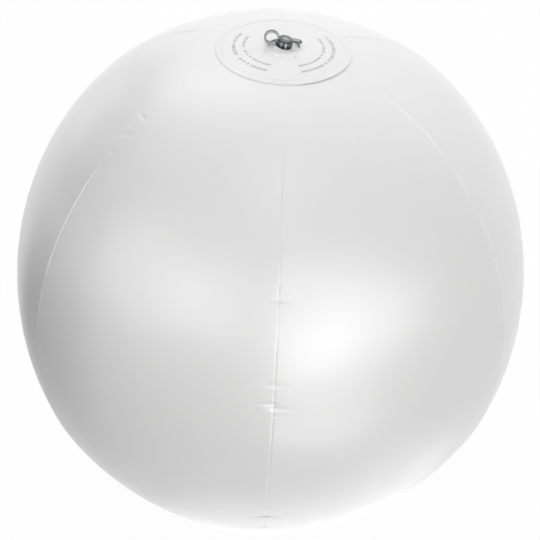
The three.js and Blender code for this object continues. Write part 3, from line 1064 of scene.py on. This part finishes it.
def painted_glint(points):
    """How much painted highlight each point takes as part of a weld line, from 0 to 1."""
    seam, side, along = seam_place(points)
    dots = DOT_MEAN
    for swing, length, shift in DOT_WAVES:
        dots = dots + swing * np.sin(along / length + shift)
    swing, length, shift, beat = DOT_BEAT
    dots += swing * np.sin(along / length + shift) * np.sin(along / beat)
    total = np.zeros(len(points))
    for number, low, high, reach, strength in PAINTED_GLINT_SEAMS:
        line = np.clip((reach - np.abs(side)) / (SHINE_EDGE * reach), 0, 1)
        fade = ramp(along, low, low + SHINE_FADE) * (1 - ramp(along, high - SHINE_FADE, high))
        total += (seam == number) * fade * line * strength * np.clip(dots, 0, 1)
    return np.minimum(total, 1)


def drawn_in(mesh):
    """Moves a mesh's points inwards, marks the painted glints on its welds, and tells the depth.
    """
    points = np.zeros(len(mesh.vertices) * 3)
    mesh.vertices.foreach_get("co", points)
    points = points.reshape(-1, 3)
    marked(mesh, "painted_glint", painted_glint(points))
    squares = (BELLY_RADIUS ** 2, BELLY_RADIUS ** 2, MERIDIAN_HALF_HEIGHT ** 2)
    outward = (points - (0, 0, centre_height)) / squares
    outward /= np.linalg.norm(outward, axis=1, keepdims=True)
    sink = film_sink(points)
    mesh.vertices.foreach_set("co", (points - outward * sink[:, None]).ravel())
    mesh.update()
    return sink.max()


print("glinting stretches", len(PAINTED_GLINT_SEAMS))

# %% [markdown]
# Each panel's grid becomes a plain mesh once: Solidify gives the film its thickness on the
# inner side, the evaluated result is copied, and the modifiers go. Only then is the film
# drawn in at its puckers, and the piece takes the place of its CAD solid.

# %% Make the six gores
FILM = 0.00025


def plain_mesh(name, source):
    """The evaluated mesh of an object with modifiers, as an object without any."""
    seen = source.evaluated_get(bpy.context.evaluated_depsgraph_get())
    mesh = bpy.data.meshes.new_from_object(seen)
    mesh.name = name
    bpy.data.objects.remove(source)
    return new_object(name, mesh)


def film_panel(name, middle_azimuth):
    carrier = new_object(name + "_carrier", bpy.data.meshes.new(name + "_carrier"))
    bow = carrier.modifiers.new("bow", "NODES")
    bow.node_group = panel_tree
    for size_name, value in PANEL_SIZES.items():
        bow[panel_sockets[size_name]] = value
    bow[panel_sockets["Middle azimuth"]] = middle_azimuth
    bow[panel_sockets["Finish"]] = film_finish
    wall = carrier.modifiers.new("wall", "SOLIDIFY")
    wall.thickness = FILM
    wall.offset = -1
    return plain_mesh(name, carrier)


for number in range(GORE_COUNT):
    panel = film_panel(f"film_gore_{number + 1}", (number + 0.5) * gore_angle)
    deepest = drawn_in(panel.data)
    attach(panel, "shell")
    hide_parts(f"gore_{number + 1}")
    print(panel.name, len(panel.data.polygons), "faces, deepest", round(deepest / MM, 2), "mm")

# %% [markdown]
# The remaining pieces are made from numbered points and faces. This helper turns such lists
# into a smooth piece, keeps an edge sharp only where the surface really turns, and makes
# sure that the faces of the closed form point outwards.

# %% Helper for closed pieces
SHARP_ANGLE = math.radians(40)


def solid_piece(name, points, faces, finish):
    mesh = bpy.data.meshes.new(name)
    mesh.from_pydata([tuple(p) for p in np.asarray(points, float)], [], faces)
    mesh.materials.append(finish)
    work = bmesh.new()
    work.from_mesh(mesh)
    if work.calc_volume(signed=True) < 0:
        bmesh.ops.reverse_faces(work, faces=work.faces)
    work.to_mesh(mesh)
    work.free()
    mesh.shade_smooth()
    mesh.set_sharp_from_angle(angle=SHARP_ANGLE)
    return new_object(name, mesh)


print("edges stay sharp from", round(math.degrees(SHARP_ANGLE)), "degrees")

# %% [markdown]
# Discs, neck and plug are turned forms: an outline of radii and heights runs round the axis.
# Where the outline meets the axis its points fall together, and the faces there become
# triangles. Corners of real mouldings are rounded, so a second helper puts a short arc in
# place of each corner that has a fillet.

# %% Helpers for turned forms
ON_AXIS = 1e-9
FILLET_STEPS = 5


def revolved(outline, segments):
    """Points and faces of a closed [radius, height] outline turned round the Z axis."""
    points, rows = [], []
    for radius, height in outline:
        if radius < ON_AXIS:
            rows.append([len(points)] * segments)
            points.append((0, 0, height))
            continue
        first = len(points)
        rows.append([first + i for i in range(segments)])
        for i in range(segments):
            angle = 2 * math.pi * i / segments
            points.append((radius * math.cos(angle), radius * math.sin(angle), height))
    faces = []
    meets_axis = outline[0][0] < ON_AXIS and outline[-1][0] < ON_AXIS
    for row in range(len(rows) - 1 if meets_axis else len(rows)):
        low, high = rows[row], rows[(row + 1) % len(rows)]
        for i in range(segments):
            j = (i + 1) % segments
            face = tuple(dict.fromkeys((low[i], low[j], high[j], high[i])))
            if len(face) > 2:
                faces.append(face)
    return np.array(points), faces


def filleted(corners):
    """Rounds each [radius, height, fillet] corner of a closed outline with a short arc."""
    outline = []
    for i, (x, y, fillet) in enumerate(corners):
        here = np.array((x, y), float)
        if fillet <= 0:
            outline.append(tuple(here))
            continue
        before = np.array(corners[i - 1][:2]) - here
        after = np.array(corners[(i + 1) % len(corners)][:2]) - here
        start = here + before / np.linalg.norm(before) * fillet
        stop = here + after / np.linalg.norm(after) * fillet
        for t in np.arange(FILLET_STEPS + 1) / FILLET_STEPS:
            arc = (1 - t) ** 2 * start + 2 * t * (1 - t) * here + t ** 2 * stop
            outline.append(tuple(arc))
    return outline


print("each fillet has", FILLET_STEPS, "steps")

# %% [markdown]
# The end disc is a turned sheet. Its weld band laps over the tips of the gores and stands a
# little higher than the middle, with a fine groove where the welding tool pressed. Nearly all
# round, the weld has pressed the band down on the film and squeezed its rim thin. From the
# front to the right the band stands open and its edge shows as a dark line, as in the picture.
# Round the valve hole the flange below lifts the sheet by a hair.

# %% Outline and rim of an end disc
FLANGE_RADIUS = 0.0104
LIFT_INSIDE = 0.0002
LIFT_OUTSIDE = 0.0006
LAP_GAP = 0.0003
STEP_WIDTH = 0.0005
DISC_ROWS = (60, 6, 14, 6)
GROOVE_RADIUS = 0.0338
GROOVE_DEPTH = 0.00009
GROOVE_WIDTH = 0.0003
RIM_WIDTH = 0.0015
RIM_SQUEEZE = 0.00034
BAND_PRESSED = 0.00027
RIM_OPEN_FROM = math.radians(22)
RIM_OPEN_TO = math.radians(88)
RIM_OPEN_FADE = math.radians(14)
OPEN_RIM_SPARED = 0.5


def disc_top(radius, lift):
    """Height of a disc's outer face above the ball's centre, before its rim is squeezed."""
    band = LAP_GAP * ramp(radius, band_inner_radius - STEP_WIDTH, band_inner_radius)
    flange = lift * (1 - ramp(radius, FLANGE_RADIUS - LIFT_INSIDE, FLANGE_RADIUS + LIFT_OUTSIDE))
    groove = GROOVE_DEPTH * np.exp(-((radius - GROOVE_RADIUS) / GROOVE_WIDTH) ** 2)
    return crown_height(radius) + DISC_FILM + band + flange - groove


def disc_outline(inner_radius, lift):
    """The sheet's outline, with the closest rows where its surface steps or curls."""
    ends = (inner_radius, band_inner_radius - STEP_WIDTH, band_inner_radius,
            DISC_RADIUS - RIM_WIDTH, DISC_RADIUS)
    zones = [np.linspace(a, b, count, endpoint=False)
             for a, b, count in zip(ends, ends[1:], DISC_ROWS)]
    radii = np.concatenate(zones + [[DISC_RADIUS]])
    top = disc_top(radii, lift)
    return list(zip(radii, top)) + list(zip(radii, top - DISC_FILM))[::-1]


def squeezed_rim(points):
    """Presses the rim down on the film, except where it stands open."""
    radius, azimuth = round_axis(points)
    opened = ramp(azimuth, RIM_OPEN_FROM - RIM_OPEN_FADE, RIM_OPEN_FROM)
    opened = opened * (1 - ramp(azimuth, RIM_OPEN_TO, RIM_OPEN_TO + RIM_OPEN_FADE))
    edge = np.clip((radius - DISC_RADIUS + RIM_WIDTH) / RIM_WIDTH, 0, 1) ** 2
    band = ramp(radius, band_inner_radius, band_inner_radius + RIM_WIDTH)
    upper_face = points[:, 2] > crown_height(radius) + LAP_GAP + DISC_FILM / 2
    squeeze = np.where(upper_face, RIM_SQUEEZE, 0) * edge * (1 - OPEN_RIM_SPARED * opened)
    moved = points.copy()
    moved[:, 2] -= BAND_PRESSED * band * (1 - opened)
    moved[:, 2] -= squeeze
    return moved


print("disc outline", len(disc_outline(FLANGE_RADIUS, 0)), "points")

# %% [markdown]
# Where the flange was welded the sheet is drawn into short radial creases, deepest towards
# the front. Where the picture shows a glint on one of them, the mesh is marked for a painted
# highlight in the finish. Each painted glint is a soft spot, longer along its crease than
# across it.

# %% Creases round the valve; painted glints: heading in degrees, distance from the axis in mm
CREASE_SEED = 77
FRONT_CREASES = 16
OTHER_CREASES = 18
FRONT_HEADINGS = (-0.9, 0.8)
CREASE_LENGTH = (0.003, 0.0065)
CREASE_DEPTH = (0.2, 0.42)
OTHER_DEPTH_SHARE = 0.3
CREASE_WIDTH = 0.36
CREASE_START = 0.001
PAINTED_CREASE_GLINTS = (
    (-42, 12.2), (-33, 9.6), (-21, 10.8), (-16.5, 10.6), (-2, 10.2), (4, 12), (20, 10.8),
    (46, 12.8),
)
GLINT_WIDTH = 0.42
GLINT_LENGTH = 1.3


def radial_creases(points):
    """Sinks the sheet in narrow folds that run out from the flange."""
    dice = random.Random(CREASE_SEED)
    radius, azimuth = round_axis(points)
    deepest_radius = FLANGE_RADIUS + CREASE_START
    sink = np.zeros(len(points))
    for i in range(FRONT_CREASES + OTHER_CREASES):
        at_front = i < FRONT_CREASES
        heading = dice.uniform(*FRONT_HEADINGS if at_front else (-math.pi, math.pi))
        length = dice.uniform(*CREASE_LENGTH)
        depth = dice.uniform(*CREASE_DEPTH) * MM * (1.0 if at_front else OTHER_DEPTH_SHARE)
        off = (azimuth - heading + math.pi) % (2 * math.pi) - math.pi
        fold = np.exp(-(off * radius / (CREASE_WIDTH * MM)) ** 2)
        rise = ramp(radius, FLANGE_RADIUS, deepest_radius)
        fall = 1 - ramp(radius, deepest_radius, deepest_radius + length)
        sink += depth * fold * (rise * fall)
    moved = points.copy()
    moved[:, 2] -= sink
    return moved


def crease_painted_glint(points):
    """How much painted highlight each point's crease takes, from 0 to 1."""
    radius, azimuth = round_axis(points)
    total = np.zeros(len(points))
    for heading, middle in PAINTED_CREASE_GLINTS:
        off = (azimuth - math.radians(heading)) * radius / MM
        out = radius / MM - middle
        total += np.exp(-(off / GLINT_WIDTH) ** 2 - (out / GLINT_LENGTH) ** 2)
    return np.minimum(total, 1)


print("creases", FRONT_CREASES + OTHER_CREASES, "glints", len(PAINTED_CREASE_GLINTS))

# %% [markdown]
# Both discs come from the same outline. The upper one has the valve hole, the flange's lift
# and the creases. The lower one is closed by a flat middle, on which the ball stands, and is
# turned over by taking its heights downwards from the ball's centre.

# %% The two end discs
DISC_SEGMENTS = 360
HOLE_RADIUS = 0.0083
FLANGE_LIFT = 0.00012

points, faces = revolved(disc_outline(HOLE_RADIUS, FLANGE_LIFT), DISC_SEGMENTS)
points = radial_creases(squeezed_rim(points))
points[:, 2] += centre_height
valve_disc = solid_piece("end_disc_valve", points, faces, valve_disc_finish)
# The creases' painted glints are marked for the finish.
marked(valve_disc.data, "painted_glint", crease_painted_glint(points))
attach(valve_disc, "shell")
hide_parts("valve_disc")

flat_height = float(crown_height(contact_radius))
outline = [(0, flat_height + DISC_FILM)] + disc_outline(contact_radius, 0) + [(0, flat_height)]
points, faces = revolved(outline, DISC_SEGMENTS)
points = squeezed_rim(points)
points[:, 2] = centre_height - points[:, 2]
base_disc = solid_piece("end_disc_base", points, faces, base_disc_finish)
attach(base_disc, "shell")
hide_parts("base_disc")
print("discs", len(valve_disc.data.polygons), len(base_disc.data.polygons), "faces")

# %% [markdown]
# Everything that moves with the neck leans by ten degrees to the right, as in the picture.
# The pieces are drawn upright round their own axis, and this matrix leans their points.

# %% The leaning frame of the valve
BORE_RADIUS = 0.0029
NECK_WALL = 0.00135
FIT_GAP = 0.0003
neck_radius = BORE_RADIUS + NECK_WALL
leaning = Matrix.Translation((0, 0, seat_height)) @ Matrix.Rotation(VALVE_LEAN, 4, "Y")


def leaned(points):
    turn = np.array(leaning.to_3x3())
    return np.asarray(points, float) @ turn.T + np.array(leaning.translation)


print("neck", round(2 * neck_radius / MM, 1), "mm across")

# %% [markdown]
# The membrane joins the still flange to the neck, which slides out when the valve is pulled.
# Its outer edge lies low and its inner part higher. It is made as a ring of small sections.

# %% The membrane round the neck
WEB_SEGMENTS = 120
WEB_ROWS = 26
WEB_OUTER_RADIUS = 0.00802
WEB_HALF_THICK = 0.000125
WEB_EDGE_HEIGHT = 0.28286
WEB_ROOT_DROP = 0.0002
WEB_FLAT = 0.06
WEB_CURVED = 0.45


def on_circle(radius, angle, height):
    return np.array((radius * math.cos(angle), radius * math.sin(angle), height))


def web_middle(angle, share):
    """A point half way through the membrane, from the flange at 0 to the neck at 1."""
    edge = on_circle(WEB_OUTER_RADIUS, angle, WEB_EDGE_HEIGHT)
    root = leaned([on_circle(neck_radius, angle, -WEB_ROOT_DROP)])[0]
    straight = max(0.0, (share - WEB_FLAT) / (1 - WEB_FLAT))
    curved = float(ramp(share, WEB_FLAT, 1.0))
    point = edge + (root - edge) * share
    point[2] = edge[2] + (root[2] - edge[2]) * (curved * WEB_CURVED + straight * (1 - WEB_CURVED))
    return point


points, faces = [], []
ring_size = 2 * (WEB_ROWS + 1)
for i in range(WEB_SEGMENTS):
    angle = 2 * math.pi * i / WEB_SEGMENTS
    middles = [web_middle(angle, row / WEB_ROWS) for row in range(WEB_ROWS + 1)]
    points += [p + (0, 0, WEB_HALF_THICK) for p in middles]
    points += [p - (0, 0, WEB_HALF_THICK) for p in reversed(middles)]
    for k in range(ring_size):
        a, b = i * ring_size + k, i * ring_size + (k + 1) % ring_size
        step = ((i + 1) % WEB_SEGMENTS) * ring_size - i * ring_size
        faces.append((a, b, b + step, a + step))
web = solid_piece("valve_membrane", points, faces, milky_vinyl)
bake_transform(web)
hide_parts("valve_web")
print("membrane", len(web.data.polygons), "faces")

# %% [markdown]
# The neck, the plug and its dished head are turned forms with rounded corners, each drawn
# as one outline. They replace the coarser CAD solids, whose facets would show in the gloss.

# %% Neck and plug, as outlines of radius, height and fillet
VALVE_SEGMENTS = 96
NECK_ABOVE = 0.003
NECK_BELOW = 0.0072
HEAD_OVERHANG = 0.0006
HEAD_THICKNESS = 0.0012
DISH_RIM = 0.0014
DISH_DEPTH = 0.0005
STEM_LENGTH = 0.0034
STEM_TAPER = 0.0004
head_radius = BORE_RADIUS + HEAD_OVERHANG
head_bottom = NECK_ABOVE + FIT_GAP
head_top = head_bottom + HEAD_THICKNESS
dish_radius = head_radius - DISH_RIM
stem_radius = BORE_RADIUS - FIT_GAP
stem_end = head_bottom - STEM_LENGTH

neck_outline = filleted([
    (BORE_RADIUS, -NECK_BELOW, 0.0003), (neck_radius, -NECK_BELOW, 0.0003),
    (neck_radius, NECK_ABOVE, 0.0006), (BORE_RADIUS, NECK_ABOVE, 0.0003)])
points, faces = revolved(neck_outline, VALVE_SEGMENTS)
neck = solid_piece("valve_tube", leaned(points), faces, neck_vinyl)
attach(neck, "neck")
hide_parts("valve_neck")

plug_outline = filleted([
    (0, stem_end, 0), (stem_radius - STEM_TAPER, stem_end, 0.0004),
    (stem_radius, head_bottom, 0.0002), (head_radius, head_bottom, 0.0003),
    (head_radius, head_top, 0.0004), (dish_radius, head_top, 0.0002),
    (dish_radius - DISH_DEPTH, head_top - DISH_DEPTH, 0.0003), (0, head_top - DISH_DEPTH, 0)])
points, faces = revolved(plug_outline, VALVE_SEGMENTS)
plug = solid_piece("valve_plug", leaned(points), faces, head_vinyl)
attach(plug, "plug")
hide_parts("plug")
print("neck", len(neck.data.polygons), "plug", len(plug.data.polygons), "faces")

# %% [markdown]
# The pull tab is a round-ended tongue moulded to the head. It is drawn from above, given its
# thickness and then a Bevel for the soft edge. Its wide top and bottom faces have points in
# one line, from which flat triangles without any area would come, so a last pass in bmesh
# splits those faces and clears such triangles.

# %% Pull tab
TAB_LENGTH = 0.005
TAB_WIDTH = 0.0034
TAB_THICKNESS = 0.0009
TAB_TOP_DROP = 0.00005
TAB_OVERLAP = 0.0002
TAB_END_POINTS = 25
TAB_ROOT_POINTS = 9
TAB_SIDE_POINTS = 14
TAB_BEVEL = 0.00028
BEVEL_SEGMENTS = 4
BEVEL_ANGLE = math.radians(50)
SHORTEST_EDGE = 0.000001


def tab_outline():
    half = TAB_WIDTH / 2
    end_middle = head_radius + FIT_GAP + TAB_LENGTH - half
    root = head_radius - TAB_OVERLAP
    sweep = math.asin(half / root)
    far = [(end_middle + half * math.cos(a), half * math.sin(a))
           for a in np.linspace(-math.pi / 2, math.pi / 2, TAB_END_POINTS)]
    near = [(root * math.cos(a), root * math.sin(a))
            for a in np.linspace(sweep, -sweep, TAB_ROOT_POINTS)]
    upper = [(x, half) for x in np.linspace(far[-1][0], near[0][0], TAB_SIDE_POINTS)[1:-1]]
    lower = [(x, -half) for x in np.linspace(near[-1][0], far[0][0], TAB_SIDE_POINTS)[1:-1]]
    return far + upper + near + lower


outline = tab_outline()
count = len(outline)
points = [(x, y, height) for height in (head_top - TAB_THICKNESS, head_top - TAB_TOP_DROP)
          for x, y in outline]
faces = [tuple(range(count))[::-1], tuple(range(count, 2 * count))]
faces += [(i, (i + 1) % count, (i + 1) % count + count, i + count) for i in range(count)]
raw_tab = solid_piece("raw_tab", leaned(points), faces, tab_vinyl)
soften = raw_tab.modifiers.new("soften", "BEVEL")
soften.width = TAB_BEVEL
soften.segments = BEVEL_SEGMENTS
soften.limit_method = "ANGLE"
soften.angle_limit = BEVEL_ANGLE
tab = plain_mesh("valve_tab", raw_tab)
work = bmesh.new()
work.from_mesh(tab.data)
bmesh.ops.remove_doubles(work, verts=work.verts, dist=SHORTEST_EDGE)
bmesh.ops.triangulate(work, faces=[face for face in work.faces if len(face.verts) > 4])
bmesh.ops.dissolve_degenerate(work, edges=work.edges, dist=SHORTEST_EDGE)
work.to_mesh(tab.data)
work.free()
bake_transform(tab)
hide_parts("pull_tab")
print("tab", len(tab.data.polygons), "faces")

# %% [markdown]
# The strap is a flat band that stands in an open loop from the foot of the neck to the head.
# When the plug folds back it turns about the loop's centre, so the band slides round its own
# circle and stays round. The band is made as two pieces: one that climbs from the neck to the
# top of the loop, and one that comes over to the head.

# %% Strap, with angles in degrees measured from the loop's centre
LOOP_RADIUS = 0.0035
STRAP_THICKNESS = 0.001
STRAP_WIDTH = 0.0026
STRAP_ROOT = -49
STRAP_END = 20
STRAP_EDGE_POINTS = 13
CLIMB = (-42, -272, 90)  # from, to, steps
OVER = (-268, -356, 36)
loop_outer = LOOP_RADIUS + STRAP_THICKNESS / 2
loop_x = -(neck_radius + FIT_GAP + loop_outer * math.cos(math.radians(STRAP_ROOT)))
loop_z = head_top + FIT_GAP - loop_outer * math.sin(math.radians(STRAP_END))


def band_section():
    """A flat section with round edges: [across, outwards from the loop's centre line]."""
    half_width, half_thick = STRAP_WIDTH / 2, STRAP_THICKNESS / 2
    straight = half_width - half_thick
    right_end = [(straight + half_thick * math.cos(a), half_thick * math.sin(a))
                 for a in np.linspace(-math.pi / 2, math.pi / 2, STRAP_EDGE_POINTS)]
    return right_end + [(-x, -y) for x, y in right_end]


def band(name, from_angle, to_angle, steps):
    """A stretch of the loop between two angles."""
    section = band_section()
    size = len(section)
    points, faces = [], []
    for angle in np.radians(np.linspace(from_angle, to_angle, steps + 1)):
        for across, outwards in section:
            reach = LOOP_RADIUS + outwards
            points.append((loop_x + reach * math.cos(angle), across,
                           loop_z + reach * math.sin(angle)))
    for row in range(steps):
        for k in range(size):
            a, b = row * size + k, row * size + (k + 1) % size
            faces.append((a, b, b + size, a + size))
    faces.append(tuple(range(size))[::-1])
    faces.append(tuple(range(steps * size, (steps + 1) * size)))
    return solid_piece(name, leaned(points), faces, clear_vinyl)


climb = band("valve_strap_climb", *CLIMB)
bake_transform(climb)
over = band("valve_strap_over", *OVER)
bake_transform(over)
for piece in (climb, over):
    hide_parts("strap")
print("strap", len(climb.data.polygons) + len(over.data.polygons), "faces")

# %% [markdown]
# The flange lies under the disc and the check flap hangs inside the ball. Their CAD shapes
# are right as they are, so they stay and only take finishes of the valve.

# %% Finish for the CAD nodes that stay
for name, finish in (("valve_flange", flange_vinyl), ("check_flap", clear_vinyl)):
    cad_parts[name].material_slots[0].material = finish
    print(name, "takes", finish.name)
